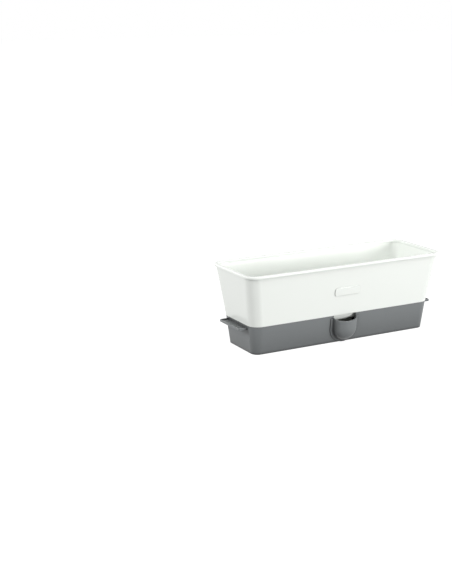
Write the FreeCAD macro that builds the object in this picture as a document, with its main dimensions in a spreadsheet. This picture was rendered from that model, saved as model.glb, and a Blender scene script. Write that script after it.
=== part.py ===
import FreeCAD, Part
import Sketcher
import os

# Herb keeper: a self-watering trough. A tub stands on a water tray, and three felt wicks
# hang through slots in the tub's floor into the water.
#
# Millimetres. X runs along the trough, -Y is the side with the scoop and +Z is up.
# The origin is the middle of the tray's underside.

SIZES = [
    ("overall_length", 400, "rim, end to end"),
    ("overall_width", 142, "rim, front to back"),
    ("overall_height", 142, "underside to the top of the rim"),
    ("wall_draft", 8, "slope of every outer wall, degrees from upright"),
    ("rim_overhang", 3.2, "how far the rim stands out past the tub wall"),
    ("rim_depth", 4, "height of the rim bead"),
    ("rim_inset", 1.3, "how far the rim stands in past the tub wall"),
    ("rim_round", 1.8, "rounding of the rim's outer top edge"),
    ("rim_inner_round", 1.2, "rounding of the rim's inner top edge"),
    ("rim_corner", 25, "corner radius of the rim in plan"),
    ("wall_corner", 20, "radius of the tub's upright corners, and of the tray's at its rim"),
    ("tub_wall", 2.5, "wall of the tub"),
    ("tub_floor", 2.5, "floor of the tub"),
    ("skirt_step", 5.2, "how far the tub's skirt is set in from the outer wall"),
    ("skirt_bottom", 38, "height of the skirt's underside"),
    ("skirt_round", 10, "rounding of the skirt's bottom edge"),
    ("badge_length", 51, "blank plate on the tub's front"),
    ("badge_tall", 13.2, "height of the blank plate"),
    ("badge_corner", 4, "corner radius of the blank plate"),
    ("badge_level", 94.2, "height of the blank plate's middle"),
    ("badge_raise", 1.4, "how far the blank plate stands out from the wall"),
    ("tray_height", 51, "height of the tray's rim, where the tub's shoulder rests"),
    ("tray_wall", 2.5, "wall of the tray"),
    ("tray_floor", 2.4, "floor of the tray"),
    ("tray_inner_round", 3.5, "rounding between the tray's floor and walls"),
    ("foot_width", 5, "width of the ring that the tray stands on"),
    ("foot_recess", 1.2, "height of that ring"),
    ("foot_round", 1.5, "rounding of the tray's outer bottom edge"),
    ("scoop_half_width", 23.4, "half the scoop's outer width, and depth of its bowl, at its centre"),
    ("scoop_reach", 17, "how far the scoop stands out from the wall at its centre"),
    ("scoop_level", 28.5, "height of the scoop's centre, where the bowl turns upright"),
    ("scoop_side_round", 13.5, "radius of the scoop's two sides in plan"),
    ("scoop_front_round", 35.5, "radius of the scoop's front in plan"),
    ("scoop_flare", 1.7, "how much wider the scoop would be at the tray's rim, all round"),
    ("scoop_wall", 2, "wall of the scoop"),
    ("scoop_lip_back", 47, "height of the scoop's lip at the tray wall"),
    ("scoop_lip_front", 41.6, "height of the scoop's lip at its front"),
    ("panel_half_width", 28.5, "half width of the raised panel round the scoop"),
    ("panel_top", 46, "height of the panel's top edge"),
    ("panel_raise", 1.4, "how far the panel stands out from the wall"),
    ("handle_span", 70, "width of each handle, front to back"),
    ("handle_reach", 16.3, "how far a handle stands out from the end wall"),
    ("handle_level", 45.4, "height of the handle's tray floor"),
    ("handle_plate", 1.8, "thickness of the handle's plate"),
    ("handle_rise", 1.8, "height of the handle's lip above its plate"),
    ("handle_lip", 2, "width of the handle's lip"),
    ("handle_corner", 2.5, "corner radius of the handle in plan"),
    ("grip_span", 77, "width of the finger recess under a handle"),
    ("grip_corner", 2, "corner radius of the finger recess in plan"),
    ("grip_wall", 2, "wall left behind the finger recess"),
    ("grip_gap", 0.3, "clearance between that wall and the tub's skirt"),
    ("wick_width", 58, "width of a felt strip"),
    ("wick_felt", 3, "thickness of the felt"),
    ("wick_spread", 66, "distance between the middles of a wick's legs"),
    ("wick_bend", 2.5, "inner radius of the felt's bends"),
    ("wick_seat", 0.3, "gap under the felt where it lies on the tub's floor"),
    ("wick_end_gap", 1.1, "gap between a wick's legs and the tray's floor"),
    ("slot_gap", 0.7, "clearance round a wick's leg in its slot"),
]

doc = FreeCAD.newDocument("HerbKeeper")
sheet = doc.addObject("Spreadsheet::Sheet", "Sizes")
for row, (alias, number, meaning) in enumerate(SIZES, 1):
    sheet.set(f"A{row}", alias)
    sheet.set(f"B{row}", str(number))
    sheet.set(f"C{row}", meaning)
    sheet.setAlias(f"B{row}", alias)
doc.recompute()

# Cutting tools run this far past the faces that they open.
PAST = "1"


# ---------------------------------------------------------------- sizes that follow

def outer_length(level):
    """Length of the sloping outer wall at a height."""
    return ("(Sizes.overall_length - 2 * Sizes.rim_overhang"
            f" - 2 * (Sizes.overall_height - ({level})) * tan(Sizes.wall_draft))")


def outer_width(level):
    """Width of the sloping outer wall at a height."""
    return ("(Sizes.overall_width - 2 * Sizes.rim_overhang"
            f" - 2 * (Sizes.overall_height - ({level})) * tan(Sizes.wall_draft))")


TRAY_FLOOR_TOP = "(Sizes.foot_recess + Sizes.tray_floor)"
TUB_FLOOR_TOP = "(Sizes.skirt_bottom + Sizes.tub_floor)"
SHOULDER_TOP = "(Sizes.tray_height + Sizes.tub_wall)"
RIM_BOTTOM = "(Sizes.overall_height - Sizes.rim_depth)"
HANDLE_BOTTOM = "(Sizes.handle_level - Sizes.handle_plate)"
GRIP_BACK = f"({outer_length('Sizes.handle_level')} / 2 - Sizes.skirt_step + Sizes.grip_gap)"
GRIP_FACE = f"({GRIP_BACK} + Sizes.grip_wall)"
SCOOP_CENTRE = f"({outer_width('Sizes.scoop_level')} / 2)"
SCOOP_LOW = f"(Sizes.scoop_level - Sizes.scoop_half_width + 2 * {PAST})"
SCOOP_CUT = "(2 * Sizes.scoop_half_width + 4 * Sizes.scoop_flare)"
WICK_PITCH = f"(({outer_length('Sizes.skirt_bottom')} - 2 * Sizes.skirt_step) / 3)"
LEG_INNER = "(Sizes.wick_spread / 2 - Sizes.wick_felt / 2)"
LEG_OUTER = "(Sizes.wick_spread / 2 + Sizes.wick_felt / 2)"


def value(expression):
    """The present value of an expression, as a plain number."""
    found = sheet.evalExpression(expression)
    return float(getattr(found, "Value", found))


# ---------------------------------------------------------------- sketches

def new_body(label):
    body = doc.addObject("PartDesign::Body", label)
    body.Label = label
    return body


def origin_plane(body, role):
    return next(plane for plane in body.Origin.OriginFeatures if plane.Role == role)


def new_sketch(body, name, role, lift="0"):
    """A sketch on one of the body's own origin planes, lifted along the plane's normal."""
    sketch = body.newObject("Sketcher::SketchObject", name)
    sketch.AttachmentSupport = [(origin_plane(body, role), "")]
    sketch.MapMode = "FlatFace"
    sketch.setExpression("AttachmentOffset.Base.z", lift)
    return sketch


def front_sketch(body, name, level):
    """A sketch that lies on the sloping front wall, with its origin at a height."""
    sketch = new_sketch(body, name, "XZ_Plane", f"{outer_width(level)} / 2")
    sketch.setExpression("AttachmentOffset.Base.y", level)
    sketch.AttachmentOffset = FreeCAD.Placement(
        FreeCAD.Vector(), FreeCAD.Rotation(FreeCAD.Vector(1, 0, 0), value("Sizes.wall_draft")))
    sketch.setExpression("AttachmentOffset.Rotation.Angle", "Sizes.wall_draft")
    return sketch


def side_sketch(body, name):
    """An upright sketch across the trough, whose X axis points to the front."""
    sketch = new_sketch(body, name, "YZ_Plane")
    sketch.AttachmentOffset = FreeCAD.Placement(
        FreeCAD.Vector(), FreeCAD.Rotation(FreeCAD.Vector(0, 1, 0), 180))
    return sketch


def constrain(sketch, kind, *places, size=None):
    """Add a constraint. One with a size is bound to its expression."""
    if size is None:
        sketch.addConstraint(Sketcher.Constraint(kind, *places))
        return
    index = sketch.addConstraint(Sketcher.Constraint(kind, *places, value(size)))
    sketch.setExpression(f"Constraints[{index}]", size)


def line(start, end):
    return Part.LineSegment(FreeCAD.Vector(*start, 0), FreeCAD.Vector(*end, 0))


QUARTER = FreeCAD.Units.Quantity("90 deg").getValueAs("rad").Value


def arc(centre, radius, first, last):
    """A circular arc, counter-clockwise from one angle to another, in quarter turns."""
    circle = Part.Circle(FreeCAD.Vector(*centre, 0), FreeCAD.Vector(0, 0, 1), radius)
    return Part.ArcOfCircle(circle, first * QUARTER, last * QUARTER)


START, END, CENTRE = range(1, 4)
X_AXIS, Y_AXIS = -1, -2
ORIGIN = (-1, 1)


def rectangle(sketch, length, width):
    """A square-cornered rectangle about the sketch's origin."""
    x, y = value(length) / 2, value(width) / 2
    places = [(-x, -y), (x, -y), (x, y), (-x, y)]
    for index, place in enumerate(places):
        sketch.addGeometry(line(place, places[(index + 1) % 4]), False)
    for index in range(4):
        constrain(sketch, "Coincident", index, END, (index + 1) % 4, START)
    for index in (0, 2):
        constrain(sketch, "Horizontal", index)
        constrain(sketch, "Vertical", index + 1)
    constrain(sketch, "Symmetric", 0, START, 2, START, *ORIGIN)
    constrain(sketch, "DistanceX", 0, START, 0, END, size=length)
    constrain(sketch, "DistanceY", 1, START, 1, END, size=width)


def rounded_rectangle(sketch, length, width, corner):
    """A rectangle with round corners about the sketch's origin."""
    x, y, r = value(length) / 2, value(width) / 2, value(corner)
    first = sketch.GeometryCount
    sketch.addGeometry([
        line((-x + r, -y), (x - r, -y)), arc((x - r, -y + r), r, -1, 0),
        line((x, -y + r), (x, y - r)), arc((x - r, y - r), r, 0, 1),
        line((x - r, y), (-x + r, y)), arc((-x + r, y - r), r, 1, 2),
        line((-x, y - r), (-x, -y + r)), arc((-x + r, -y + r), r, 2, 3)], False)
    front, front_turn, right, _, back, _, left, _ = range(first, first + 8)
    for index in range(8):
        constrain(sketch, "Tangent", first + index, END, first + (index + 1) % 8, START)
    constrain(sketch, "Horizontal", back)
    constrain(sketch, "Vertical", left)
    constrain(sketch, "Symmetric", front, START, front, END, Y_AXIS)
    constrain(sketch, "Symmetric", right, START, right, END, X_AXIS)
    for index in (3, 5, 7):
        constrain(sketch, "Equal", front_turn, first + index)
    constrain(sketch, "Radius", front_turn, size=corner)
    constrain(sketch, "DistanceX", left, START, right, START, size=length)
    constrain(sketch, "DistanceY", front, START, back, START, size=width)


def arch(sketch, width, bottom, top, corner):
    """An upright outline about the sketch's Y axis, square below and round at its top corners."""
    x, low, high, r = value(width) / 2, value(bottom), value(top), value(corner)
    foot = sketch.GeometryCount
    sketch.addGeometry([
        line((-x, low), (x, low)), line((x, low), (x, high - r)), arc((x - r, high - r), r, 0, 1),
        line((x - r, high), (-x + r, high)), arc((-x + r, high - r), r, 1, 2),
        line((-x, high - r), (-x, low))], False)
    right, right_turn, head, left_turn, left = range(foot + 1, foot + 6)
    constrain(sketch, "Coincident", foot, END, right, START)
    for index in (right, right_turn, head, left_turn):
        constrain(sketch, "Tangent", index, END, index + 1, START)
    constrain(sketch, "Coincident", left, END, foot, START)
    constrain(sketch, "Horizontal", head)
    constrain(sketch, "Vertical", right)
    constrain(sketch, "Vertical", left)
    constrain(sketch, "Symmetric", foot, START, foot, END, Y_AXIS)
    constrain(sketch, "Equal", right_turn, left_turn)
    constrain(sketch, "Radius", right_turn, size=corner)
    constrain(sketch, "DistanceX", foot, START, foot, END, size=width)
    constrain(sketch, "DistanceY", *ORIGIN, foot, START, size=bottom)
    constrain(sketch, "DistanceY", *ORIGIN, head, START, size=top)


def hanging_arch(sketch, half_width, top):
    """A half round below the sketch's origin, with straight sides up to a flat top."""
    x, high = value(half_width), value(top)
    sketch.addGeometry([
        arc((0, 0), x, 2, 4), line((x, 0), (x, high)),
        line((x, high), (-x, high)), line((-x, high), (-x, 0))], False)
    constrain(sketch, "Coincident", 0, CENTRE, *ORIGIN)
    constrain(sketch, "Tangent", 0, END, 1, START)
    constrain(sketch, "Coincident", 1, END, 2, START)
    constrain(sketch, "Coincident", 2, END, 3, START)
    constrain(sketch, "Tangent", 3, END, 0, START)
    constrain(sketch, "Vertical", 1)
    constrain(sketch, "Vertical", 3)
    constrain(sketch, "Horizontal", 2)
    constrain(sketch, "Radius", 0, size=half_width)
    constrain(sketch, "DistanceY", *ORIGIN, 1, END, size=top)


def bulge_turn(half_width, reach, side_round, front_round):
    """Where the sides of a bulge end, and the angle where its side arcs meet its front arc."""
    across, join = half_width - side_round, front_round - side_round
    rise = (join ** 2 - across ** 2) ** 0.5
    turn = FreeCAD.Vector(1, 0, 0).getAngle(FreeCAD.Vector(across, rise, 0)) / QUARTER
    return reach - front_round + rise, turn


def bulge(sketch, half_width, reach, side_round, front_round, depth):
    """A plan that swells forward along Y: straight sides, round shoulders and a nearly flat
    front. It is square at the back, at a depth behind the sketch's origin."""
    sizes = [value(size) for size in (half_width, reach, side_round, front_round)]
    x, y, r, front = sizes
    back = -value(depth)
    shoulder, turn = bulge_turn(*sizes)
    sketch.addGeometry([
        line((-x, back), (x, back)), line((x, back), (x, shoulder)),
        arc((x - r, shoulder), r, 0, turn), arc((0, y - front), front, turn, 2 - turn),
        arc((-x + r, shoulder), r, 2 - turn, 2), line((-x, shoulder), (-x, back))], False)
    constrain(sketch, "Coincident", 0, END, 1, START)
    for index in (1, 2, 3, 4):
        constrain(sketch, "Tangent", index, END, index + 1, START)
    constrain(sketch, "Coincident", 5, END, 0, START)
    constrain(sketch, "Symmetric", 0, START, 0, END, Y_AXIS)
    constrain(sketch, "Vertical", 1)
    constrain(sketch, "Vertical", 5)
    constrain(sketch, "PointOnObject", 3, CENTRE, Y_AXIS)
    constrain(sketch, "Equal", 2, 4)
    constrain(sketch, "Radius", 2, size=side_round)
    constrain(sketch, "Radius", 3, size=front_round)
    constrain(sketch, "DistanceX", 0, START, 0, END, size=f"2 * ({half_width})")
    constrain(sketch, "DistanceY", 0, START, *ORIGIN, size=depth)
    constrain(sketch, "DistanceY", *ORIGIN, 3, CENTRE, size=f"({reach}) - ({front_round})")


def half_bulge(sketch, half_width, reach, side_round, front_round, depth):
    """The right half of such a plan, closed along the Y axis."""
    sizes = [value(size) for size in (half_width, reach, side_round, front_round)]
    x, y, r, front = sizes
    back = -value(depth)
    shoulder, turn = bulge_turn(*sizes)
    sketch.addGeometry([
        line((0, back), (x, back)), line((x, back), (x, shoulder)),
        arc((x - r, shoulder), r, 0, turn), arc((0, y - front), front, turn, 1),
        line((0, y), (0, back))], False)
    constrain(sketch, "Coincident", 0, END, 1, START)
    for index in (1, 2):
        constrain(sketch, "Tangent", index, END, index + 1, START)
    constrain(sketch, "Coincident", 3, END, 4, START)
    constrain(sketch, "Coincident", 4, END, 0, START)
    constrain(sketch, "Horizontal", 0)
    constrain(sketch, "Vertical", 1)
    constrain(sketch, "PointOnObject", 3, CENTRE, Y_AXIS)
    constrain(sketch, "PointOnObject", 3, END, Y_AXIS)
    constrain(sketch, "PointOnObject", 0, START, Y_AXIS)
    constrain(sketch, "Radius", 2, size=side_round)
    constrain(sketch, "Radius", 3, size=front_round)
    constrain(sketch, "DistanceX", 0, START, 0, END, size=half_width)
    constrain(sketch, "DistanceY", 0, START, *ORIGIN, size=depth)
    constrain(sketch, "DistanceY", *ORIGIN, 3, CENTRE, size=f"({reach}) - ({front_round})")


def polygon(sketch, points):
    """A closed outline through points given as pairs of expressions, all right of and above
    the origin."""
    places = [(value(x), value(y)) for x, y in points]
    count = len(points)
    for index, place in enumerate(places):
        sketch.addGeometry(line(place, places[(index + 1) % count]), False)
    for index in range(count):
        constrain(sketch, "Coincident", index, END, (index + 1) % count, START)
    for index, (x, y) in enumerate(points):
        constrain(sketch, "DistanceX", *ORIGIN, index, START, size=x)
        constrain(sketch, "DistanceY", *ORIGIN, index, START, size=y)


# ---------------------------------------------------------------- features

def pad(body, sketch, length, centred=False):
    feature = body.newObject("PartDesign::Pad", sketch.Name + "_pad")
    feature.Profile = sketch
    feature.setExpression("Length", length)
    feature.Midplane = centred
    return feature


def pocket(body, sketch, length, centred=False, away=False):
    """Cut against the sketch's normal, to both sides of it, or along the normal."""
    feature = body.newObject("PartDesign::Pocket", sketch.Name + "_pocket")
    feature.Profile = sketch
    feature.setExpression("Length", length)
    feature.Midplane = centred
    feature.Reversed = away
    return feature


def loft(body, kind, lower, upper):
    feature = body.newObject(f"PartDesign::{kind}Loft", lower.Name + "_loft")
    feature.Profile = lower
    feature.Sections = [upper]
    feature.Ruled = True
    return feature


def mirror(body, name, features):
    """The same features on the other end."""
    other = body.newObject("PartDesign::Mirrored", name)
    other.Originals = features
    other.MirrorPlane = (origin_plane(body, "YZ_Plane"), [""])
    body.Tip = other


def fillet(body, name, radius, wanted):
    """Round the edges of the body's present shape for which wanted(edge) holds."""
    doc.recompute()
    base = body.Tip
    edges = [f"Edge{number}" for number, edge in enumerate(base.Shape.Edges, 1) if wanted(edge)]
    feature = body.newObject("PartDesign::Fillet", name)
    feature.Base = (base, edges)
    feature.setExpression("Radius", radius)
    return feature


NEAR = 1e-4


def flat_at(piece, level):
    """Whether an edge or a face lies level at a height."""
    box = piece.BoundBox
    return abs(box.ZMin - level) < NEAR and abs(box.ZMax - level) < NEAR


def spans(piece, low, high):
    """Whether an edge or a face runs exactly from one height up to another."""
    box = piece.BoundBox
    return abs(box.ZMin - low) < NEAR and abs(box.ZMax - high) < NEAR


def draft(body, name, neutral, top, outside):
    """Lean the upright faces between two heights outward by the wall's draft. They keep their
    place at the lower height. They are the outside of a block or the inside of a pocket."""
    doc.recompute()
    base = body.Tip
    low, high = value(neutral), value(top)
    faces = list(enumerate(base.Shape.Faces, 1))
    upright = [f"Face{number}" for number, face in faces if spans(face, low, high)]
    level = [f"Face{number}" for number, face in faces if flat_at(face, low)]
    feature = body.newObject("PartDesign::Draft", name)
    feature.Base = (base, upright)
    feature.NeutralPlane = (base, level[:1])
    feature.Reversed = outside
    feature.setExpression("Angle", "Sizes.wall_draft")
    return feature


def round_corners(body, name, radius, bottom, top):
    """Round the four corner edges that run from one height up to another."""
    low, high = value(bottom), value(top)
    fillet(body, name, radius, lambda edge: spans(edge, low, high))


def wall_rectangle(body, name, lift, level, inset="0"):
    """The sloping outer wall's size at a height, set in all round, on a sketch at some height."""
    sketch = new_sketch(body, name, "XY_Plane", lift)
    rectangle(sketch, f"{outer_length(level)} - 2 * ({inset})",
              f"{outer_width(level)} - 2 * ({inset})")
    return sketch


def wall_block(body, name, bottom, top):
    """A square-cornered block with the outer wall's slope."""
    pad(body, wall_rectangle(body, name, bottom, bottom), f"{top} - {bottom}")
    draft(body, name + "_draft", bottom, top, outside=True)


def wall_hollow(body, name, bottom, floor, top, wall):
    """Hollow such a block down to a floor, and round its corners inside and out."""
    pocket(body, wall_rectangle(body, name, top, floor, wall), f"{top} - {floor}")
    draft(body, name + "_draft", floor, top, outside=False)
    round_corners(body, name + "_corners", f"Sizes.wall_corner - {wall}", floor, top)
    round_corners(body, name + "_outer_corners", "Sizes.wall_corner", bottom, top)


def pan_outline(level, inset, corner_level):
    """Length, width and corner radius of a pan at a height, set in from the outer wall. The
    corners open out with the draft from the height where they have the wall's own radius."""
    return (f"{outer_length(level)} - 2 * ({inset})", f"{outer_width(level)} - 2 * ({inset})",
            f"Sizes.wall_corner - ({inset}) + (({level}) - {corner_level}) * tan(Sizes.wall_draft)")


def pan(body, name, levels, outside, inside, inner_round, outer_round):
    """A pan with sloping walls that is round at the bottom inside and out. The levels are its
    underside, its floor and its top."""
    bottom, floor, top = levels
    block = new_sketch(body, name + "_outside", "XY_Plane", bottom)
    rounded_rectangle(block, *outside)
    pad(body, block, f"{top} - {bottom}")
    draft(body, name + "_draft", bottom, top, outside=True)
    hollow = new_sketch(body, name + "_inside", "XY_Plane", top)
    rounded_rectangle(hollow, *inside)
    pocket(body, hollow, f"{top} - {floor}")
    draft(body, name + "_inside_draft", floor, top, outside=False)
    floor_level, underside = value(floor), value(bottom)
    fillet(body, name + "_inner_round", inner_round, lambda edge: flat_at(edge, floor_level))
    fillet(body, name + "_outer_round", outer_round, lambda edge: flat_at(edge, underside))


# ---------------------------------------------------------------- the water tray

def turned_sketch(body, name, level, turn):
    """A level sketch at a height, turned about the upright axis."""
    sketch = new_sketch(body, name, "XY_Plane", level)
    sketch.AttachmentOffset = FreeCAD.Placement(
        FreeCAD.Vector(0, 0, value(level)), FreeCAD.Rotation(FreeCAD.Vector(0, 0, 1), turn))
    return sketch


def add_handles(body):
    """A flat plate with a raised lip round it on each end, rooted in the middle of the wall."""
    root = f"({outer_length('Sizes.handle_level')} / 2 - Sizes.tray_wall / 2)"
    reach = f"({outer_length('Sizes.handle_level')} / 2 + Sizes.handle_reach)"
    inner_root = f"({root} + Sizes.tray_wall / 5)"
    outline = ("Sizes.handle_span", root, reach, "Sizes.handle_corner")
    plate = turned_sketch(body, "handle_plate", HANDLE_BOTTOM, -90)
    arch(plate, *outline)
    plate_pad = pad(body, plate, "Sizes.handle_plate")
    lip = turned_sketch(body, "handle_lip", HANDLE_BOTTOM, -90)
    arch(lip, *outline)
    arch(lip, "Sizes.handle_span - 2 * Sizes.handle_lip", inner_root,
         f"{reach} - Sizes.handle_lip", "Sizes.handle_corner - Sizes.handle_lip")
    lip_pad = pad(body, lip, "Sizes.handle_plate + Sizes.handle_rise")
    mirror(body, "other_handle", [plate_pad, lip_pad])


def scoop_sizes(inset, flare="0", past="0"):
    """The scoop's plan set in from its outside, and widened. It starts behind the tray's wall."""
    change = f"- ({inset}) + {flare}"
    behind = f"({SCOOP_CENTRE} - {outer_width(SCOOP_LOW)} / 2 + Sizes.tray_wall)"
    return (f"Sizes.scoop_half_width {change}", f"Sizes.scoop_reach {change}",
            f"Sizes.scoop_side_round {change}", f"Sizes.scoop_front_round {change}",
            f"{behind} + {past}")


def scoop_sketch(body, name, level):
    """A level sketch at a height, with its origin over the wall at the scoop's level, whose
    Y axis points to the front."""
    sketch = turned_sketch(body, name, level, 180)
    sketch.setExpression("AttachmentOffset.Base.y", f"-{SCOOP_CENTRE}")
    return sketch


def scoop_bowl(body, kind, name, inset, past="0"):
    """Half a turn of the scoop's plan about the line that points to the front."""
    sketch = scoop_sketch(body, name, "Sizes.scoop_level")
    half_bulge(sketch, *scoop_sizes(inset, past=past))
    bowl = body.newObject(f"PartDesign::{kind}", name + "_turn")
    bowl.Profile = sketch
    bowl.ReferenceAxis = (sketch, ["V_Axis"])
    bowl.Angle = 180


def scoop_upper(body, kind, name, inset, top, past="0"):
    """The part of the scoop above its centre, which flares up to a height."""
    flare = (f"Sizes.scoop_flare * ({top} - Sizes.scoop_level)"
             " / (Sizes.tray_height - Sizes.scoop_level)")
    lower = scoop_sketch(body, name + "_low", "Sizes.scoop_level")
    bulge(lower, *scoop_sizes(inset, past=past))
    upper = scoop_sketch(body, name + "_high", top)
    bulge(upper, *scoop_sizes(inset, flare, past))
    loft(body, kind, lower, upper)


def add_scoop(body):
    """The bowl and the upright part of the scoop, cut off flush with the wall's inside."""
    scoop_bowl(body, "Revolution", "scoop_bowl", "0")
    scoop_upper(body, "Additive", "scoop", "0", "Sizes.tray_height")

    def inside(level):
        return f"{outer_width(level)} / 2 - Sizes.tray_wall"
    above = f"(Sizes.tray_height + {PAST})"
    behind = f"({inside(SCOOP_LOW)} - 2 * {PAST})"
    trim = side_sketch(body, "scoop_trim")
    polygon(trim, [(behind, SCOOP_LOW), (inside(SCOOP_LOW), SCOOP_LOW), (inside(above), above),
                   (behind, above)])
    pocket(body, trim, SCOOP_CUT, centred=True)


def hollow_scoop(body):
    """The scoop's inside, which also opens the tray's wall behind it."""
    scoop_bowl(body, "Groove", "scoop_bowl_inside", "Sizes.scoop_wall", PAST)
    scoop_upper(body, "Subtractive", "scoop_inside", "Sizes.scoop_wall",
                f"(Sizes.tray_height + {PAST})", PAST)


def slope_scoop_lip(body):
    """Cut the scoop down to a lip that slopes forward from the tray's wall."""
    def wall_face(level):
        return f"{outer_width(level)} / 2"
    front = f"({SCOOP_CENTRE} + Sizes.scoop_reach)"
    fall = (f"(Sizes.scoop_lip_back - Sizes.scoop_lip_front)"
            f" / ({front} - {wall_face('Sizes.scoop_lip_back')})")
    above = f"(Sizes.tray_height + {PAST})"
    ahead = f"({front} + 5 * {PAST})"
    side = side_sketch(body, "scoop_lip")
    polygon(side, [
        (wall_face("Sizes.scoop_lip_back"), "Sizes.scoop_lip_back"),
        (ahead, f"Sizes.scoop_lip_back - {fall} * ({ahead} - {wall_face('Sizes.scoop_lip_back')})"),
        (ahead, above),
        (wall_face(above), above)])
    pocket(body, side, SCOOP_CUT, centred=True)


def add_finger_grip(body):
    """An upright recess in the end wall under a handle, with the wall thickened behind it."""
    middle = f"({outer_length('Sizes.handle_level')} / 2 - Sizes.tray_wall / 2)"
    run_out = f"(Sizes.handle_level - ({middle} - {GRIP_BACK}) / tan(Sizes.wall_draft))"
    backing = new_sketch(body, "grip_backing", "XZ_Plane")
    polygon(backing, [(GRIP_BACK, run_out), (middle, "Sizes.handle_level"),
                      (GRIP_BACK, "Sizes.handle_level")])
    backing_pad = pad(body, backing, "Sizes.grip_span + 2 * Sizes.grip_wall", centred=True)

    depth = f"(Sizes.handle_reach + Sizes.skirt_step + {PAST})"
    recess = new_sketch(body, "grip_recess", "XY_Plane", HANDLE_BOTTOM)
    recess.setExpression("AttachmentOffset.Base.x", f"{GRIP_FACE} + {depth} / 2")
    rounded_rectangle(recess, depth, "Sizes.grip_span", "Sizes.grip_corner")
    recess_pocket = pocket(body, recess, HANDLE_BOTTOM)

    mirror(body, "other_grip", [backing_pad, recess_pocket])


def make_reservoir_base():
    body = new_body("reservoir_base")
    top = "Sizes.tray_height"
    pan(body, "tray", ("0", TRAY_FLOOR_TOP, top), pan_outline("0", "0", top),
        pan_outline(TRAY_FLOOR_TOP, "Sizes.tray_wall", top),
        "Sizes.tray_inner_round", "Sizes.foot_round")
    underside = new_sketch(body, "foot_hollow", "XY_Plane")
    rounded_rectangle(underside, *pan_outline("0", "Sizes.foot_width", top))
    pocket(body, underside, "Sizes.foot_recess", away=True)

    add_handles(body)
    add_finger_grip(body)

    panel = front_sketch(body, "scoop_panel", "Sizes.scoop_level")
    hanging_arch(panel, "Sizes.panel_half_width",
                 "(Sizes.panel_top - Sizes.scoop_level) / cos(Sizes.wall_draft)")
    pad(body, panel, "2 * Sizes.panel_raise", centred=True)
    add_scoop(body)
    hollow_scoop(body)
    slope_scoop_lip(body)
    return body


# ---------------------------------------------------------------- the tub

SKIRT_INSIDE = "Sizes.skirt_step + Sizes.tub_wall"


def make_skirt(body):
    """The shallow pan that nests inside the tray."""
    bottom = "Sizes.skirt_bottom"
    pan(body, "skirt", (bottom, TUB_FLOOR_TOP, "Sizes.tray_height"),
        pan_outline(bottom, "Sizes.skirt_step", bottom),
        pan_outline(TUB_FLOOR_TOP, SKIRT_INSIDE, TUB_FLOOR_TOP),
        "Sizes.skirt_round - Sizes.tub_wall", "Sizes.skirt_round")


def add_rim(body):
    """The rolled bead round the mouth, which stands out and a little in past the wall."""
    ring = new_sketch(body, "rim_ring", "XY_Plane", RIM_BOTTOM)
    rounded_rectangle(ring, "Sizes.overall_length", "Sizes.overall_width", "Sizes.rim_corner")
    inset = "(Sizes.tub_wall + Sizes.rim_inset)"
    rounded_rectangle(ring, f"{outer_length('Sizes.overall_height')} - 2 * {inset}",
                      f"{outer_width('Sizes.overall_height')} - 2 * {inset}",
                      f"Sizes.wall_corner - {inset}")
    pad(body, ring, "Sizes.rim_depth")

    half_length, half_width = value("Sizes.overall_length") / 2, value("Sizes.overall_width") / 2
    corner = value("Sizes.rim_corner")
    wall = (half_length - value(outer_length("Sizes.overall_height")) / 2) / 2

    def from_outline(edge):
        """How far the middle of an edge lies inside the rim's outer outline."""
        middle = edge.valueAt((edge.FirstParameter + edge.LastParameter) / 2)
        x, y = abs(middle.x) - half_length + corner, abs(middle.y) - half_width + corner
        if x > 0 and y > 0:
            return corner - (x * x + y * y) ** 0.5
        return corner - max(x, y)

    top = value("Sizes.overall_height")
    fillet(body, "rim_round", "Sizes.rim_round",
           lambda edge: flat_at(edge, top) and from_outline(edge) < wall)
    fillet(body, "mouth_round", "Sizes.rim_inner_round",
           lambda edge: flat_at(edge, top) and from_outline(edge) > 2 * wall)


def cut_wick_slots(body):
    """Two slots for the legs of each wick, opened inward by the felt's bend."""
    inner = f"({LEG_INNER} - Sizes.wick_bend)"
    outer = f"({LEG_OUTER} + Sizes.slot_gap)"
    cuts = []
    for side, sign in (("front", "-"), ("back", "")):
        slot = new_sketch(body, f"slot_{side}", "XY_Plane", TUB_FLOOR_TOP)
        slot.setExpression("AttachmentOffset.Base.x", f"-{WICK_PITCH}")
        slot.setExpression("AttachmentOffset.Base.y", f"{sign}({inner} + {outer}) / 2")
        rectangle(slot, "Sizes.wick_width + 2 * Sizes.slot_gap", f"{outer} - {inner}")
        cuts.append(pocket(body, slot, f"Sizes.tub_floor + {PAST}"))
    row_of_slots = body.newObject("PartDesign::LinearPattern", "slots_along")
    row_of_slots.Originals = cuts
    row_of_slots.Direction = (slot, ["H_Axis"])
    row_of_slots.setExpression("Length", f"2 * {WICK_PITCH}")
    row_of_slots.Occurrences = 3
    body.Tip = row_of_slots


def make_planter_tub():
    body = new_body("planter_tub")
    make_skirt(body)
    wall_block(body, "wall_outside", "Sizes.tray_height", RIM_BOTTOM)
    wall_hollow(body, "wall_inside", "Sizes.tray_height", SHOULDER_TOP, RIM_BOTTOM,
                "Sizes.tub_wall")
    shoulder = new_sketch(body, "shoulder_opening", "XY_Plane", SHOULDER_TOP)
    rounded_rectangle(shoulder, *pan_outline("Sizes.tray_height", SKIRT_INSIDE, TUB_FLOOR_TOP))
    pocket(body, shoulder, "Sizes.tub_wall")
    add_rim(body)

    badge = front_sketch(body, "badge_plate", "Sizes.badge_level")
    rounded_rectangle(badge, "Sizes.badge_length", "Sizes.badge_tall", "Sizes.badge_corner")
    pad(body, badge, "2 * Sizes.badge_raise", centred=True)
    cut_wick_slots(body)
    return body


# ---------------------------------------------------------------- the felt wicks

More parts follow.
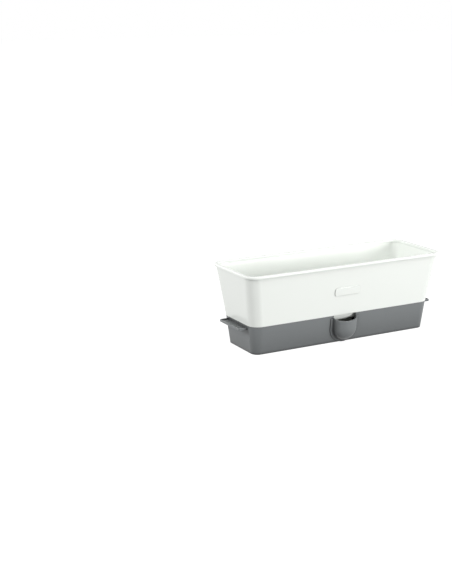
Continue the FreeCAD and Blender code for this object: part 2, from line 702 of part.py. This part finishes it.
def make_wick(label, place):
    """A felt strip bent to an n: it lies across the tub's floor with its legs in the water."""
    body = new_body(label)
    underside = f"({TUB_FLOOR_TOP} + Sizes.wick_seat)"
    leg_end = f"({TRAY_FLOOR_TOP} + Sizes.wick_end_gap)"
    outside = new_sketch(body, "felt_outside", "YZ_Plane")
    arch(outside, f"2 * {LEG_OUTER}", leg_end, f"{underside} + Sizes.wick_felt",
         "Sizes.wick_bend + Sizes.wick_felt")
    pad(body, outside, "Sizes.wick_width", centred=True)
    inside = new_sketch(body, "felt_inside", "YZ_Plane")
    arch(inside, f"2 * {LEG_INNER}", f"{leg_end} - {PAST}", underside, "Sizes.wick_bend")
    pocket(body, inside, f"Sizes.wick_width + {PAST}", centred=True)
    body.setExpression("Placement.Base.x", f"{place} * {WICK_PITCH}")
    return body


# ---------------------------------------------------------------- build and export

pieces = [make_reservoir_base(), make_planter_tub()]
for label, place in (("felt_wick_left", -1), ("felt_wick_middle", 0), ("felt_wick_right", 1)):
    pieces.append(make_wick(label, place))
doc.recompute()

faults = [f"{item.Name}: {item.State}" for item in doc.Objects
          if "Invalid" in item.State or "Error" in item.State]
for piece in pieces:
    shape = piece.Shape
    if shape.isNull() or not shape.isValid() or len(shape.Solids) != 1:
        faults.append(f"{piece.Label}: not one valid solid")
if faults:
    raise RuntimeError("; ".join(faults))

os.makedirs("parts", exist_ok=True)
for piece in pieces:
    piece.Shape.exportStep(f"parts/{piece.Label}.step")
    print(piece.Label, round(piece.Shape.Volume), "cubic millimetres")
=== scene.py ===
"""A self-watering herb trough: its glossy tub, satin water tray and felt wicks, in a studio."""

import math

import bpy
from bpy.props import FloatProperty, FloatVectorProperty, IntProperty, PointerProperty
from mathutils import Matrix, Vector


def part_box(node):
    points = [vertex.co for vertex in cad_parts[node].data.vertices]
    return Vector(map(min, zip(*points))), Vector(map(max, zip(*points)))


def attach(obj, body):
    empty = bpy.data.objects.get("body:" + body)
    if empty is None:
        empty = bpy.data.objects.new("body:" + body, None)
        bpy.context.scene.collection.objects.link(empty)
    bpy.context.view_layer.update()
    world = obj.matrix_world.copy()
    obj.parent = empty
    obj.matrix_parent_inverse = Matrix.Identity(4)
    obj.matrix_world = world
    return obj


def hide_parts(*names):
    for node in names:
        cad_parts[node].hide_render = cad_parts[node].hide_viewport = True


bl_info = {
    "name": "Herb Keeper",
    "version": (1, 0, 0),
    "blender": (4, 5, 0),
    "location": "3D Viewport > Sidebar > Herb Keeper",
    "description": "Plastic and felt finishes for a self-watering herb trough, and a plain studio",
    "category": "Object",
}

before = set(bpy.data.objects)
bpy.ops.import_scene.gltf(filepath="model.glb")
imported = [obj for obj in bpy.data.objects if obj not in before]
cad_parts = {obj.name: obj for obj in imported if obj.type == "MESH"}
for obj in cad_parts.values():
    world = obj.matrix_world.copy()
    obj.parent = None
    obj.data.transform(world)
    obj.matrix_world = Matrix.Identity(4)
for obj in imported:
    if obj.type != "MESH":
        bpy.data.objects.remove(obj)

TRAY_NODE = "reservoir_base"
TUB_NODE = "planter_tub"
WICKS = {"left": "felt_wick_left", "middle": "felt_wick_middle", "right": "felt_wick_right"}
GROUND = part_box(TRAY_NODE)[0].z
TUB_LOW, TUB_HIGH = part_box(TUB_NODE)
WICK_LOW, WICK_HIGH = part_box(WICKS["middle"])

# The point in the middle of the scoop's bowl where a fan of its faces meets.
SCOOP_POLE = (0.0, -0.0688, 0.0285)

WHITE = (1.0, 1.0, 1.0, 1.0)
# Nearly all values of a noise lie between these two.
NOISE_LOW, NOISE_HIGH = 0.3, 0.7
# Cosines of the turn at which an edge begins to show, and shows in full.
EDGE_BEGINS, EDGE_FULL = 0.97, 0.75
# Openness to the light, out of 1, at which a place gets its full painted shade.
DEEPEST = 0.4
# Share of a pole's reach inside which the faces' own normals are used in full.
POLE_FULL = 0.9
# Keeps the part of a distance that is at right angles to Y.
ACROSS_Y = (1.0, 0.0, 1.0)
# The two ways that the felt's strands run, as turns about all three axes.
STRAND_TURNS = (math.radians(25), math.radians(-40))
# How much more strands count than clumps in the felt's shade, and the spread of both together.
STRAND_WEIGHT = 1.6
FELT_SHADE_LOW, FELT_SHADE_HIGH = 1.0, 1.8


# ---------------------------------------------------------------- settings

class HerbKeeperColours(bpy.types.PropertyGroup):
    """Colours of the three materials, as linear values."""

    tub: FloatVectorProperty(
        name="Tub", description="White plastic of the planter tub",
        subtype="COLOR", size=3, min=0, max=1, default=(0.89, 0.92, 0.88))
    tray: FloatVectorProperty(
        name="Tray", description="Grey plastic of the water tray",
        subtype="COLOR", size=3, min=0, max=1, default=(0.170, 0.182, 0.186))
    felt: FloatVectorProperty(
        name="Felt", description="Light fibres of the felt wicks",
        subtype="COLOR", size=3, min=0, max=1, default=(0.64, 0.64, 0.59))
    felt_dark: FloatVectorProperty(
        name="Felt, dark", description="Darker fibres of the felt wicks",
        subtype="COLOR", size=3, min=0, max=1, default=(0.40, 0.41, 0.38))


class HerbKeeperFelt(bpy.types.PropertyGroup):
    """Sizes of a felt strip. Its width and height come from the frame."""

    thickness: FloatProperty(
        name="Thickness", description="Thickness of the pressed felt",
        default=0.003, min=0.001, max=0.006, unit="LENGTH", subtype="DISTANCE")
    bend: FloatProperty(
        name="Bend", description="Radius of each bend, at the middle of the felt",
        default=0.004, min=0.002, max=0.02, unit="LENGTH", subtype="DISTANCE")
    edge: FloatProperty(
        name="Edge", description="Softness of the cut edges",
        default=0.0007, min=0.0001, max=0.0014, unit="LENGTH", subtype="DISTANCE")
    unevenness: FloatProperty(
        name="Unevenness", description="How far the felt's faces rise and fall",
        default=0.00035, min=0, max=0.001, unit="LENGTH", subtype="DISTANCE")
    bend_steps: IntProperty(
        name="Bend steps", description="Faces round each bend", default=6, min=3, max=16)


class HerbKeeperStage(bpy.types.PropertyGroup):
    """The floor, the camera and the lamps."""

    floor: FloatProperty(
        name="Floor", description="Width of the floor",
        default=30.0, min=2, max=100, unit="LENGTH", subtype="DISTANCE")
    camera_place: FloatVectorProperty(
        name="Camera place", description="Where the camera stands",
        size=3, default=(-1.0584, -1.61, 0.5805), unit="LENGTH", subtype="TRANSLATION")
    camera_yaw: FloatProperty(
        name="Camera yaw", description="Turn of the view from the front towards the right",
        default=math.radians(27.927), unit="ROTATION", subtype="ANGLE")
    camera_pitch: FloatProperty(
        name="Camera pitch", description="How far the camera looks down",
        default=math.radians(14.647), unit="ROTATION", subtype="ANGLE")
    camera_roll: FloatProperty(
        name="Camera roll", description="Tilt of the camera about its own axis",
        default=math.radians(-0.351), unit="ROTATION", subtype="ANGLE")
    camera_lens: FloatProperty(
        name="Lens", description="Focal length on a 36 mm frame, in millimetres",
        default=68.78, min=20, max=200, unit="CAMERA")
    surround: FloatProperty(
        name="Surround", description="Brightness of the white room as the object feels it",
        default=0.36, min=0, max=1, subtype="FACTOR")
    paper: FloatProperty(
        name="Paper", description="Brightness of the floor's paper as the object feels it",
        default=0.3, min=0, max=1, subtype="FACTOR")
    paper_glow: FloatProperty(
        name="Paper glow", description="Light that the paper adds where it is seen",
        default=0.9, min=0, max=1, subtype="FACTOR")


# ---------------------------------------------------------------- shader tools

def add_node(tree, kind, **settings):
    """A new node with some of its settings changed."""
    made = tree.nodes.new(kind)
    for name, setting in settings.items():
        setattr(made, name, setting)
    return made


def set_inputs(node, **values):
    """Give a node's sockets their values. An underscore in a name stands for a space."""
    for name, value in values.items():
        node.inputs[name.replace("_", " ")].default_value = value
    return node


def start_group(name, inputs, outputs):
    """A shader node group with its sockets, and its own input and output nodes."""
    group = bpy.data.node_groups.new(name, "ShaderNodeTree")
    for label, kind, value in inputs:
        socket = group.interface.new_socket(name=label, in_out="INPUT", socket_type=kind)
        if value is not None:
            socket.default_value = value
    for label, kind in outputs:
        group.interface.new_socket(name=label, in_out="OUTPUT", socket_type=kind)
    return group, group.nodes.new("NodeGroupInput"), group.nodes.new("NodeGroupOutput")


def use_group(tree, group, **values):
    """Place a group in a material with its own values."""
    made = tree.nodes.new("ShaderNodeGroup")
    made.node_tree = group
    return set_inputs(made, **values)


def mix_sockets(tree, kind, **settings):
    """A mix node of one kind: its factor, its two inputs and its output."""
    mix = add_node(tree, "ShaderNodeMix", data_type=kind, **settings)
    factor = next(socket for socket in mix.inputs if socket.type == "VALUE")
    first, second = (socket for socket in mix.inputs
                     if socket.type == kind and socket.name in ("A", "B"))
    return factor, first, second, next(socket for socket in mix.outputs if socket.type == kind)


def moulded_grain_group():
    """The fine grain that a moulding takes from its tool, and slow changes in its shine."""
    group, given, result = start_group(
        "Moulded grain",
        [("Vector", "NodeSocketVector", None), ("Grain Scale", "NodeSocketFloat", 1500.0),
         ("Low Roughness", "NodeSocketFloat", 0.2), ("High Roughness", "NodeSocketFloat", 0.3)],
        [("Roughness", "NodeSocketFloat"), ("Height", "NodeSocketFloat")])
    links = group.links
    grain = set_inputs(add_node(group, "ShaderNodeTexNoise"), Detail=3.0, Roughness=0.6)
    links.new(given.outputs["Vector"], grain.inputs["Vector"])
    links.new(given.outputs["Grain Scale"], grain.inputs["Scale"])
    links.new(grain.outputs["Fac"], result.inputs["Height"])

    shine = set_inputs(add_node(group, "ShaderNodeTexNoise"), Scale=16.0, Detail=4.0)
    links.new(given.outputs["Vector"], shine.inputs["Vector"])
    spread = add_node(group, "ShaderNodeMapRange")
    links.new(shine.outputs["Fac"], spread.inputs["Value"])
    set_inputs(spread, From_Min=NOISE_LOW, From_Max=NOISE_HIGH)
    links.new(given.outputs["Low Roughness"], spread.inputs["To Min"])
    links.new(given.outputs["High Roughness"], spread.inputs["To Max"])
    links.new(spread.outputs["Result"], result.inputs["Roughness"])
    return group


def soft_edge_group():
    """Edges rounded by the small radius the tool leaves; their mask takes painted highlights."""
    group, given, result = start_group(
        "Soft edge", [("Width", "NodeSocketFloat", 0.0004)],
        [("Normal", "NodeSocketVector"), ("Edge", "NodeSocketFloat")])
    links = group.links
    rounded = add_node(group, "ShaderNodeBevel", samples=8)
    links.new(given.outputs["Width"], rounded.inputs["Radius"])
    links.new(rounded.outputs["Normal"], result.inputs["Normal"])
    surface = add_node(group, "ShaderNodeNewGeometry")
    agree = add_node(group, "ShaderNodeVectorMath", operation="DOT_PRODUCT")
    links.new(rounded.outputs["Normal"], agree.inputs[0])
    links.new(surface.outputs["Normal"], agree.inputs[1])
    mask = set_inputs(add_node(group, "ShaderNodeMapRange"),
                      From_Min=EDGE_BEGINS, From_Max=EDGE_FULL)
    links.new(agree.outputs["Value"], mask.inputs["Value"])
    links.new(mask.outputs["Result"], result.inputs["Edge"])
    return group


def painted_shade_group():
    """Painted shade by openness to the light: its shade in the deepest places, 1 in the open.

    A short reach finds grooves and inner corners, and a longer one what stands near the floor.
    """
    group, given, result = start_group(
        "Painted shade",
        [("Groove Reach", "NodeSocketFloat", 0.006), ("Groove Shade", "NodeSocketFloat", 0.3),
         ("Foot Reach", "NodeSocketFloat", 0.045), ("Foot Shade", "NodeSocketFloat", 0.65)],
        [("Open", "NodeSocketFloat")])
    links = group.links
    both = add_node(group, "ShaderNodeMath", operation="MULTIPLY")
    for kind, socket in zip(("Groove", "Foot"), both.inputs):
        occlusion = add_node(group, "ShaderNodeAmbientOcclusion", samples=16)
        links.new(given.outputs[f"{kind} Reach"], occlusion.inputs["Distance"])
        mask = set_inputs(add_node(group, "ShaderNodeMapRange"), From_Min=DEEPEST)
        links.new(occlusion.outputs["AO"], mask.inputs["Value"])
        links.new(given.outputs[f"{kind} Shade"], mask.inputs["To Min"])
        links.new(mask.outputs["Result"], socket)
    links.new(both.outputs["Value"], result.inputs["Open"])
    return group


def even_pole_group():
    """Each face's own normal within reach of a pole, and the normal as given elsewhere.

    The reach is measured at right angles to Y, which is the way that the pole faces.
    """
    group, given, result = start_group(
        "Even pole",
        [("Vector", "NodeSocketVector", None), ("Normal", "NodeSocketVector", None),
         ("Pole", "NodeSocketVector", None), ("Reach", "NodeSocketFloat", 0.0024)],
        [("Normal", "NodeSocketVector")])
    links = group.links
    apart = add_node(group, "ShaderNodeVectorMath", operation="SUBTRACT")
    links.new(given.outputs["Vector"], apart.inputs[0])
    links.new(given.outputs["Pole"], apart.inputs[1])
    across = add_node(group, "ShaderNodeVectorMath", operation="MULTIPLY")
    links.new(apart.outputs["Vector"], across.inputs[0])
    across.inputs[1].default_value = ACROSS_Y
    radius = add_node(group, "ShaderNodeVectorMath", operation="LENGTH")
    links.new(across.outputs["Vector"], radius.inputs[0])
    share = add_node(group, "ShaderNodeMath", operation="DIVIDE")
    links.new(radius.outputs["Value"], share.inputs[0])
    links.new(given.outputs["Reach"], share.inputs[1])
    near = set_inputs(add_node(group, "ShaderNodeMapRange"), From_Min=1.0, From_Max=POLE_FULL)
    links.new(share.outputs["Value"], near.inputs["Value"])
    surface = add_node(group, "ShaderNodeNewGeometry")
    factor, smooth, flat, mixed = mix_sockets(group, "VECTOR")
    links.new(near.outputs["Result"], factor)
    links.new(given.outputs["Normal"], smooth)
    links.new(surface.outputs["True Normal"], flat)
    links.new(mixed, result.inputs["Normal"])
    return group


def felt_fibre_group():
    """Pressed fibres: short crossing strands, and clumps that are denser and darker."""
    group, given, result = start_group(
        "Felt fibres",
        [("Vector", "NodeSocketVector", None), ("Fibre Scale", "NodeSocketFloat", 900.0),
         ("Stretch", "NodeSocketFloat", 5.0)],
        [("Shade", "NodeSocketFloat"), ("Height", "NodeSocketFloat")])
    links = group.links
    layers = []
    for turn in STRAND_TURNS:
        turned = add_node(group, "ShaderNodeMapping")
        turned.inputs["Rotation"].default_value = (turn, turn, turn)
        links.new(given.outputs["Vector"], turned.inputs["Vector"])
        drawn = add_node(group, "ShaderNodeVectorMath", operation="MULTIPLY")
        links.new(turned.outputs["Vector"], drawn.inputs[0])
        along = add_node(group, "ShaderNodeCombineXYZ")
        set_inputs(along, Y=1.0, Z=1.0)
        links.new(given.outputs["Stretch"], along.inputs["X"])
        links.new(along.outputs["Vector"], drawn.inputs[1])
        strands = set_inputs(add_node(group, "ShaderNodeTexNoise"), Detail=4.0, Distortion=0.8)
        links.new(drawn.outputs["Vector"], strands.inputs["Vector"])
        links.new(given.outputs["Fibre Scale"], strands.inputs["Scale"])
        layers.append(strands)
    crossed = add_node(group, "ShaderNodeMath", operation="MAXIMUM")
    for layer, socket in zip(layers, crossed.inputs):
        links.new(layer.outputs["Fac"], socket)
    links.new(crossed.outputs["Value"], result.inputs["Height"])

    clumps = set_inputs(add_node(group, "ShaderNodeTexNoise"), Scale=140.0, Detail=3.0)
    links.new(given.outputs["Vector"], clumps.inputs["Vector"])
    together = add_node(group, "ShaderNodeMath", operation="MULTIPLY_ADD")
    links.new(crossed.outputs["Value"], together.inputs[0])
    together.inputs[1].default_value = STRAND_WEIGHT
    links.new(clumps.outputs["Fac"], together.inputs[2])
    shade = set_inputs(add_node(group, "ShaderNodeMapRange"),
                       From_Min=FELT_SHADE_LOW, From_Max=FELT_SHADE_HIGH)
    links.new(together.outputs["Value"], shade.inputs["Value"])
    links.new(shade.outputs["Result"], result.inputs["Shade"])
    return group


def shared_group(name, build):
    """A group by its name, built the first time that it is asked for."""
    return bpy.data.node_groups.get(name) or build()


def start_material(name):
    """A material with its node tree, the object's own coordinates and the shader."""
    material = bpy.data.materials.new(name)
    material.use_nodes = True
    tree = material.node_tree
    place = tree.nodes.new("ShaderNodeTexCoord").outputs["Object"]
    return material, tree, place, tree.nodes["Principled BSDF"]


def mixed_colour(tree, mask, first, second):
    """A colour that goes from one to another by a mask."""
    factor, from_colour, to_colour, mixed = mix_sockets(tree, "RGBA")
    tree.links.new(mask, factor)
    from_colour.default_value = (*first, 1.0)
    to_colour.default_value = (*second, 1.0)
    return mixed


def lightened(colour, gain):
    """A colour whose channels are all multiplied by a gain."""
    return tuple(channel * gain for channel in colour)


def moulded_plastic(name, colour, grain_scale, grain_depth, shine, edge_width, edge_highlight_gain,
                    painted_shade, pole=None):
    """Injection-moulded plastic: a grain, a varying shine, painted edge highlights and painted
    shade.

    A pole, where one is given, is a point whose fan of faces is shaded by the faces' own normals.
    """
    material, tree, place, shader = start_material(name)
    links = tree.links
    grain = use_group(tree, shared_group("Moulded grain", moulded_grain_group),
                      Grain_Scale=grain_scale, Low_Roughness=shine[0], High_Roughness=shine[1])
    links.new(place, grain.inputs["Vector"])
    links.new(grain.outputs["Roughness"], shader.inputs["Roughness"])

    edge = use_group(tree, shared_group("Soft edge", soft_edge_group), Width=edge_width)
    relief = set_inputs(add_node(tree, "ShaderNodeBump"), Strength=1.0, Distance=grain_depth)
    links.new(grain.outputs["Height"], relief.inputs["Height"])
    normal = edge.outputs["Normal"]
    if pole:
        even = use_group(tree, shared_group("Even pole", even_pole_group), Pole=pole)
        links.new(place, even.inputs["Vector"])
        links.new(normal, even.inputs["Normal"])
        normal = even.outputs["Normal"]
    links.new(normal, relief.inputs["Normal"])
    links.new(relief.outputs["Normal"], shader.inputs["Normal"])

    # Painted shade: the mask darkens the colour where little light reaches, in grooves, corners
    # and near the floor.
    painted_shade_mask = use_group(tree, shared_group("Painted shade", painted_shade_group), **painted_shade)
    factor, plastic, shade, colour_with_painted_shade = mix_sockets(tree, "RGBA", blend_type="MULTIPLY")
    factor.default_value = 1.0
    # Painted highlight: the gain lightens the colour along the edge mask.
    links.new(mixed_colour(tree, edge.outputs["Edge"], colour, lightened(colour, edge_highlight_gain)),
              plastic)
    links.new(painted_shade_mask.outputs["Open"], shade)
    links.new(colour_with_painted_shade, shader.inputs["Base Color"])
    return material


def dress(node_name, material):
    """Give a node of the frame a material."""
    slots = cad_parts[node_name].data.materials
    slots.clear()
    slots.append(material)


# ---------------------------------------------------------------- mesh tools

def deselect_all():
    """Leave edit mode and clear the selection, because operators act on all that is selected."""
    if bpy.context.object and bpy.context.object.mode != "OBJECT":
        bpy.ops.object.mode_set(mode="OBJECT")
    bpy.ops.object.select_all(action="DESELECT")


def select_edges(mesh, wanted):
    """Select the edges whose middles pass a test. Call it in object mode."""
    for part in (mesh.vertices, mesh.edges, mesh.polygons):
        for item in part:
            item.select = False
    for edge in mesh.edges:
        first, second = (mesh.vertices[index] for index in edge.vertices)
        if wanted((first.co + second.co) / 2):
            edge.select = first.select = second.select = True


def apply_modifier(piece, name, kind, **settings):
    """Add a modifier with its settings to the active piece, and apply it."""
    modifier = piece.modifiers.new(name, kind)
    for key, setting in settings.items():
        setattr(modifier, key, setting)
    bpy.ops.object.modifier_apply(modifier=name)


# ---------------------------------------------------------------- the pieces

class HERBKEEPER_OT_finish_tray(bpy.types.Operator):
    """Give the water tray its satin grey plastic"""

    bl_idname = "herb_keeper.finish_tray"
    bl_label = "Finish Water Tray"

    def execute(self, context):
        colour = tuple(context.scene.herb_keeper_colours.tray)
        dress(TRAY_NODE, moulded_plastic(
            "Satin grey plastic", colour, grain_scale=2600.0, grain_depth=0.00003,
            # The edge gain paints a highlight along the edges.
            shine=(0.34, 0.42), edge_width=0.0008, edge_highlight_gain=1.2,
            # These values paint shade into grooves, inner corners and near the floor.
            painted_shade={"Groove_Reach": 0.006, "Groove_Shade": 0.3,
                    "Foot_Reach": 0.045, "Foot_Shade": 0.65}, pole=SCOOP_POLE))
        return {"FINISHED"}


class HERBKEEPER_OT_finish_tub(bpy.types.Operator):
    """Give the planter tub its glossy white plastic"""

    bl_idname = "herb_keeper.finish_tub"
    bl_label = "Finish Planter Tub"

    def execute(self, context):
        colour = tuple(context.scene.herb_keeper_colours.tub)
        dress(TUB_NODE, moulded_plastic(
            "Glossy white plastic", colour, grain_scale=420.0, grain_depth=0.00001,
            # The edge gain paints a highlight along the edges.
            shine=(0.14, 0.20), edge_width=0.0005, edge_highlight_gain=1.03,
            # These values paint shade into grooves, inner corners and near the floor.
            painted_shade={"Groove_Reach": 0.003, "Groove_Shade": 0.72,
                    "Foot_Reach": 0.01, "Foot_Shade": 0.95}))
        return {"FINISHED"}


class HERBKEEPER_OT_make_wicks(bpy.types.Operator):
    """Model the three felt wicks, which lie across the tub's floor with their legs in the water"""

    bl_idname = "herb_keeper.make_wicks"
    bl_label = "Make Felt Wicks"

    def execute(self, context):
        felt = self.felt_material(context.scene.herb_keeper_colours)
        first, cut_length = self.model_strip(context.scene.herb_keeper_felt)
        middle = (WICK_LOW.x + WICK_HIGH.x) / 2
        for place, node_name in WICKS.items():
            low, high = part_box(node_name)
            strip = first.copy()
            strip.data = first.data.copy()
            strip.name = strip.data.name = f"felt_strip_{place}"
            strip.data.transform(Matrix.Translation(((low.x + high.x) / 2 - middle, 0, 0)))
            strip.data.materials.append(felt)
            context.scene.collection.objects.link(strip)
            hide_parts(node_name)
            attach(strip, f"wick_{place}")
        bpy.data.objects.remove(first)
        return {"FINISHED"}

    def model_strip(self, sizes):
        """One strip bent to an n in the middle wick's place, and the length that it is cut to."""
        thick, bend = sizes.thickness, sizes.bend
        merge_distance, voxel, lump_size = thick / 100, thick / 4, 4 * thick
        top = WICK_HIGH.z - thick / 2
        half_spread = (WICK_HIGH.y - WICK_LOW.y - thick) / 2
        half_flat = half_spread - bend
        leg = top - bend - WICK_LOW.z
        width = WICK_HIGH.x - WICK_LOW.x

        deselect_all()
        bpy.ops.mesh.primitive_plane_add(
            size=1, location=((WICK_LOW.x + WICK_HIGH.x) / 2, 0, top))
        strip = bpy.context.object
        strip.scale = (width, 2 * half_flat, 1)
        bpy.ops.object.transform_apply(location=True, rotation=False, scale=True)
        for side in (-1, 1):
            def at_open_end(middle, side=side):
                return side * middle.y > half_flat - voxel

            select_edges(strip.data, at_open_end)
            bpy.ops.object.mode_set(mode="EDIT")
            bpy.ops.mesh.select_mode(type="EDGE")
            bpy.ops.mesh.spin(steps=sizes.bend_steps, angle=side * math.pi / 2,
                              center=(0, side * half_flat, top - bend), axis=(1, 0, 0))
            bpy.ops.mesh.extrude_region_move(TRANSFORM_OT_translate={"value": (0, 0, -leg)})
            bpy.ops.object.mode_set(mode="OBJECT")

        bpy.ops.object.mode_set(mode="EDIT")
        bpy.ops.mesh.select_all(action="SELECT")
        bpy.ops.mesh.remove_doubles(threshold=merge_distance)
        bpy.ops.mesh.normals_make_consistent(inside=False)
        bpy.ops.object.mode_set(mode="OBJECT")
        apply_modifier(strip, "Thickness", "SOLIDIFY", thickness=thick, offset=0)
        apply_modifier(strip, "Soft edges", "BEVEL", width=sizes.edge, segments=2,
                       limit_method="ANGLE", angle_limit=math.radians(40))
        apply_modifier(strip, "Even faces", "REMESH", mode="VOXEL", voxel_size=voxel)
        lumps = bpy.data.textures.new("Felt lumps", "CLOUDS")
        lumps.noise_scale = lump_size
        lumps.noise_depth = 3
        apply_modifier(strip, "Unevenness", "DISPLACE", texture=lumps, texture_coords="LOCAL",
                       strength=sizes.unevenness)
        bpy.ops.object.shade_smooth()
        return strip, 2 * half_flat + math.pi * bend + 2 * leg

    def felt_material(self, colours):
        """Pressed felt: crossing fibres, clumps, and a soft fuzz at grazing angles."""
        material, tree, place, shader = start_material("Pressed felt")
        links = tree.links
        fibres = use_group(tree, shared_group("Felt fibres", felt_fibre_group))
        links.new(place, fibres.inputs["Vector"])
        links.new(mixed_colour(tree, fibres.outputs["Shade"], tuple(colours.felt_dark),
                               tuple(colours.felt)), shader.inputs["Base Color"])
        relief = set_inputs(add_node(tree, "ShaderNodeBump"), Strength=1.0, Distance=0.0003)
        links.new(fibres.outputs["Height"], relief.inputs["Height"])
        links.new(relief.outputs["Normal"], shader.inputs["Normal"])
        set_inputs(shader, Roughness=0.95, Sheen_Weight=0.35, Sheen_Roughness=0.6,
                   Specular_IOR_Level=0.2)
        return material


# ---------------------------------------------------------------- the studio

class HERBKEEPER_OT_make_stage(bpy.types.Operator):
    """Set up the white floor and room, the soft lamps and the camera"""

    bl_idname = "herb_keeper.make_stage"
    bl_label = "Make Studio"

    LAMPS = {
        "Overhead softbox": {"place": (0.3, -1.4, 1.8), "size": (1.8, 1.3), "power": 18.0},
        "Left softbox": {"place": (-3.2, 0.4, 1.5), "size": (0.6, 0.9), "power": 62.0},
        "Front softbox": {"place": (1.9, -2.9, 0.6), "size": (1.2, 0.9), "power": 76.0},
        "Back softbox": {"place": (-0.9, 2.5, 0.9), "size": (1.4, 0.8), "power": 16.0},
    }

    def execute(self, context):
        sizes = context.scene.herb_keeper_stage
        middle = Vector(((TUB_LOW.x + TUB_HIGH.x) / 2, (TUB_LOW.y + TUB_HIGH.y) / 2,
                         TUB_HIGH.z / 2))
        deselect_all()
        bpy.ops.mesh.primitive_plane_add(size=sizes.floor, location=(0, 0, GROUND))
        floor = context.object
        floor.name = "studio_floor"
        bpy.ops.object.transform_apply(location=True, rotation=False, scale=False)
        floor.data.materials.append(self.floor_material(sizes.paper, sizes.paper_glow))
        for name, lamp in self.LAMPS.items():
            self.add_softbox(name, middle, **lamp)
        self.paint_world(context.scene, sizes.surround)
        self.place_camera(context.scene, sizes)
        context.scene.view_settings.view_transform = "Standard"
        return {"FINISHED"}

    def add_softbox(self, name, target, place, size, power):
        """A rectangular lamp that faces a target. Its power is in watts."""
        bpy.ops.object.light_add(type="AREA", location=place)
        lamp = bpy.context.object
        lamp.name = name
        lamp.rotation_euler = (target - Vector(place)).to_track_quat("-Z", "Y").to_euler()
        lamp.data.shape = "RECTANGLE"
        lamp.data.size, lamp.data.size_y = size
        lamp.data.energy = power

    def seen_directly(self, tree):
        """A mask of the rays that show the room: the camera's, and those in gloss or glass."""
        rays = tree.nodes.new("ShaderNodeLightPath")
        seen = rays.outputs["Is Camera Ray"]
        for kind in ("Is Glossy Ray", "Is Transmission Ray"):
            either = add_node(tree, "ShaderNodeMath", operation="MAXIMUM")
            tree.links.new(seen, either.inputs[0])
            tree.links.new(rays.outputs[kind], either.inputs[1])
            seen = either.outputs["Value"]
        return seen

    def floor_material(self, paper, paper_glow):
        """White paper that takes the object's shadow and otherwise shows as plain white."""
        material = bpy.data.materials.new("White paper")
        material.use_nodes = True
        tree = material.node_tree
        shader = tree.nodes["Principled BSDF"]
        set_inputs(shader, Base_Color=(paper, paper, paper, 1.0), Roughness=0.9,
                   Specular_IOR_Level=0.0, Emission_Color=WHITE)
        glow = add_node(tree, "ShaderNodeMath", operation="MULTIPLY")
        tree.links.new(self.seen_directly(tree), glow.inputs[0])
        glow.inputs[1].default_value = paper_glow
        tree.links.new(glow.outputs["Value"], shader.inputs["Emission Strength"])
        return material

    def paint_world(self, scene, surround):
        """A room that shows as white and lights the object less than that."""
        world = bpy.data.worlds.new("White room")
        scene.world = world
        world.use_nodes = True
        tree = world.node_tree
        background = tree.nodes["Background"]
        set_inputs(background, Color=WHITE)
        level = set_inputs(add_node(tree, "ShaderNodeMapRange"), To_Min=surround, To_Max=1.0)
        tree.links.new(self.seen_directly(tree), level.inputs["Value"])
        tree.links.new(level.outputs["Result"], background.inputs["Strength"])

    def place_camera(self, scene, sizes):
        """A camera turned by its yaw, tipped down by its pitch and tilted by its roll."""
        bpy.ops.object.camera_add()
        camera = bpy.context.object
        camera.name = "Studio camera"
        camera.matrix_world = (
            Matrix.Translation(sizes.camera_place)
            @ Matrix.Rotation(-sizes.camera_yaw, 4, "Z")
            @ Matrix.Rotation(math.pi / 2 - sizes.camera_pitch, 4, "X")
            @ Matrix.Rotation(sizes.camera_roll, 4, "Z"))
        camera.data.lens = sizes.camera_lens
        scene.camera = camera


# ---------------------------------------------------------------- panel and registration

class HERBKEEPER_PT_panel(bpy.types.Panel):
    """The herb keeper's settings and steps"""

    bl_label = "Herb Keeper"
    bl_idname = "HERBKEEPER_PT_panel"
    bl_space_type = "VIEW_3D"
    bl_region_type = "UI"
    bl_category = "Herb Keeper"

    def draw(self, context):
        for group in SETTINGS:
            box = self.layout.box()
            settings = getattr(context.scene, group)
            for name in settings.bl_rna.properties.keys():
                if name not in ("rna_type", "name"):
                    box.prop(settings, name)
        for step in STEPS:
            self.layout.operator(step.bl_idname)


SETTINGS = {
    "herb_keeper_colours": HerbKeeperColours,
    "herb_keeper_felt": HerbKeeperFelt,
    "herb_keeper_stage": HerbKeeperStage,
}
STEPS = (HERBKEEPER_OT_finish_tray, HERBKEEPER_OT_finish_tub, HERBKEEPER_OT_make_wicks,
         HERBKEEPER_OT_make_stage)
CLASSES = (*SETTINGS.values(), *STEPS, HERBKEEPER_PT_panel)


def register():
    """Add the classes, and the settings to the scene."""
    for item in CLASSES:
        bpy.utils.register_class(item)
    for name, group in SETTINGS.items():
        setattr(bpy.types.Scene, name, PointerProperty(type=group))


def unregister():
    """Take away the settings and the classes."""
    for name in SETTINGS:
        delattr(bpy.types.Scene, name)
    for item in reversed(CLASSES):
        bpy.utils.unregister_class(item)


def main():
    """Run every step."""
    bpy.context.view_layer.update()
    register()
    bpy.ops.herb_keeper.finish_tray()
    bpy.ops.herb_keeper.finish_tub()
    bpy.ops.herb_keeper.make_wicks()
    bpy.ops.herb_keeper.make_stage()


if __name__ == "__main__":
    main()
